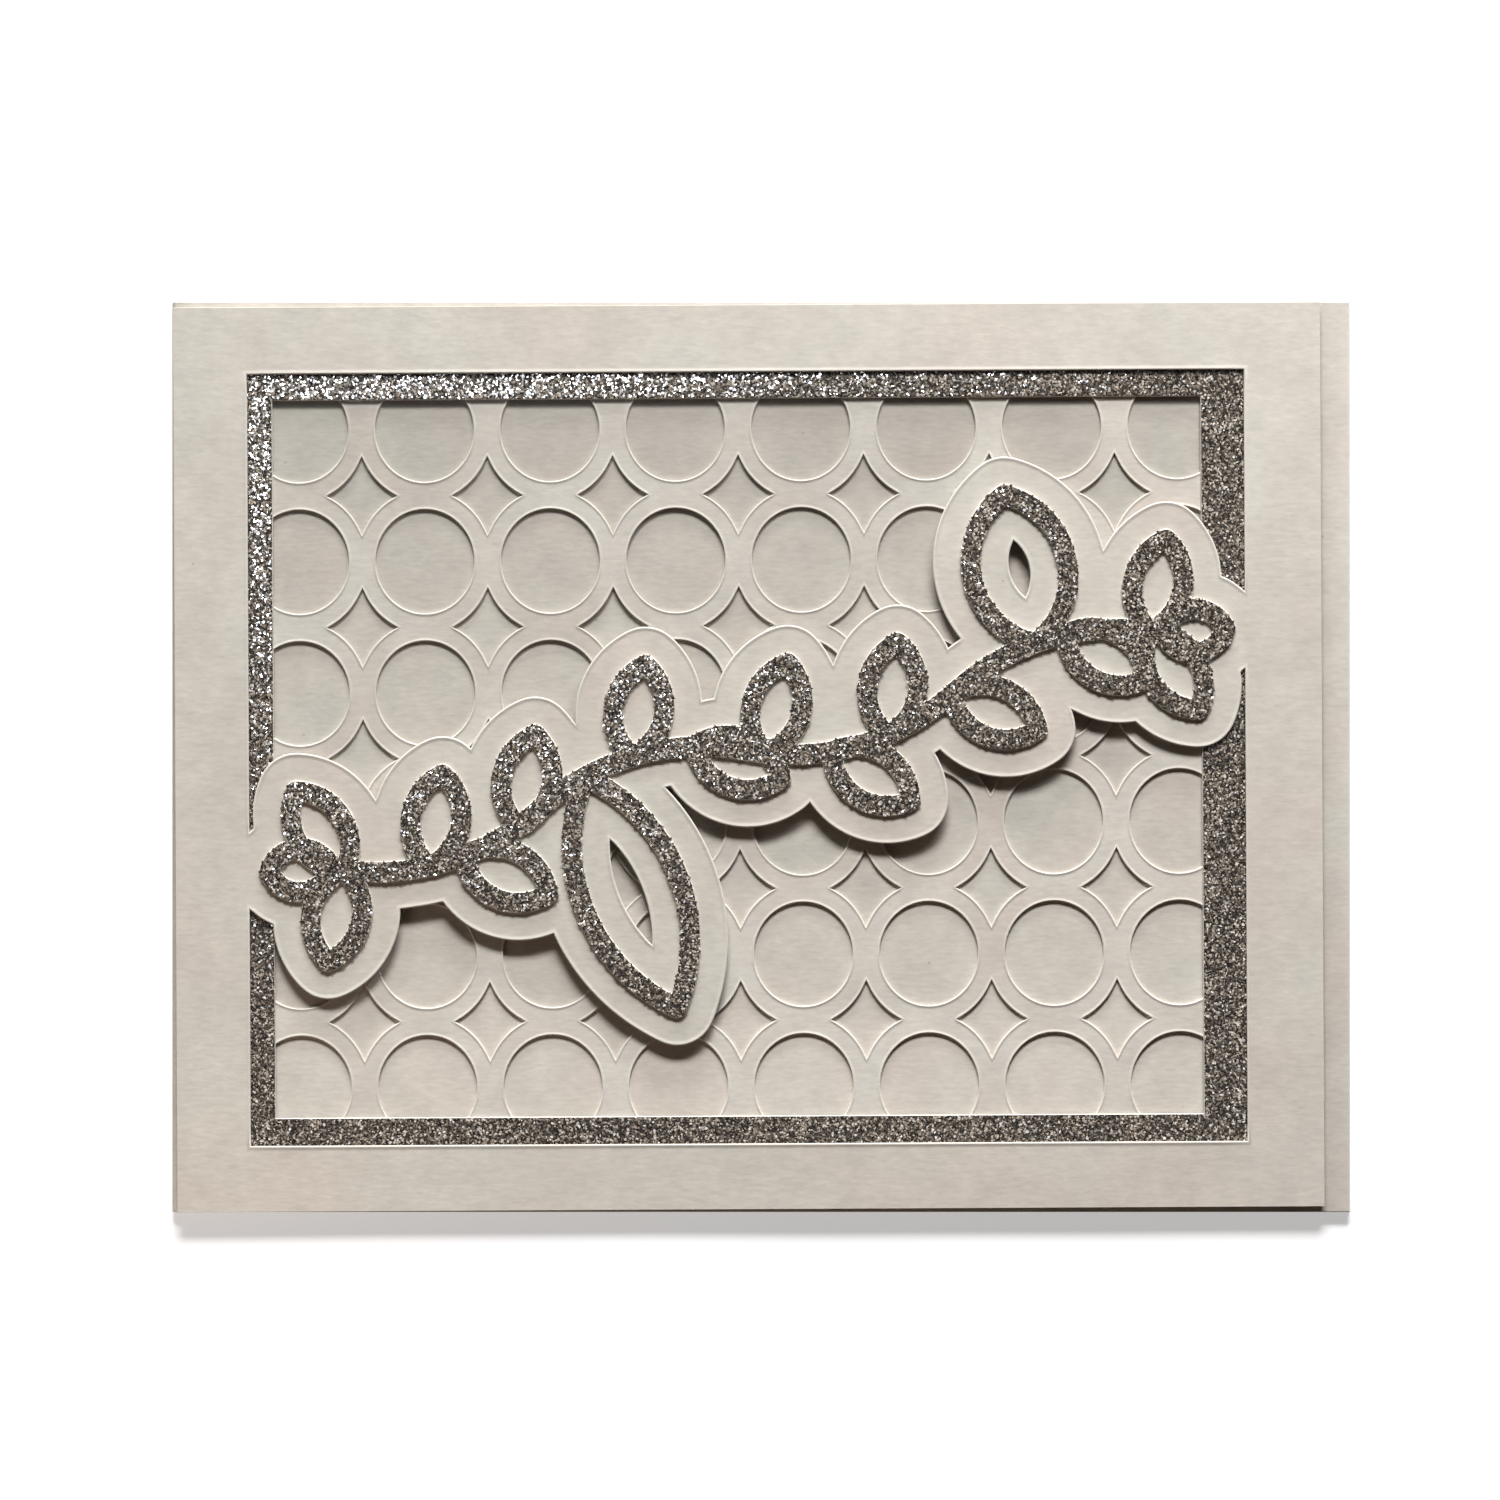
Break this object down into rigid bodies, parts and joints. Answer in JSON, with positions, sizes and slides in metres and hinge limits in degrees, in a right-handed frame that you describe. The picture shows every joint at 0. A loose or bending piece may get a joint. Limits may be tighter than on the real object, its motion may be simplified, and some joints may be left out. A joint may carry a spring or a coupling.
{
  "type": "greeting card",
  "caption": "Landscape folded greeting card, layered: ring lattice, silver glitter frame and a white frame bridged by a band with a glitter leaf flourish.",
  "frame": {"origin": "middle of the underside of the card, lying on its back", "axes": "+X to the right of the front as it is read, away from the fold, +Y towards the front's upper edge, +Z out of the front"},
  "size_m": [0.1396, 0.108, 0.0024],
  "materials": {
    "white_card": "warm white uncoated card with a faint fibre grain and clean die-cut edges",
    "silver_glitter": "card coated with coarse silver glitter, grey with bright sparkles"
  },
  "bodies": {
    "root": {"card_base": "white_card", "ring_lattice": "white_card", "glitter_frame": "silver_glitter", "top_frame": "white_card", "glitter_flourish": "silver_glitter"}
  },
  "joints": []
}
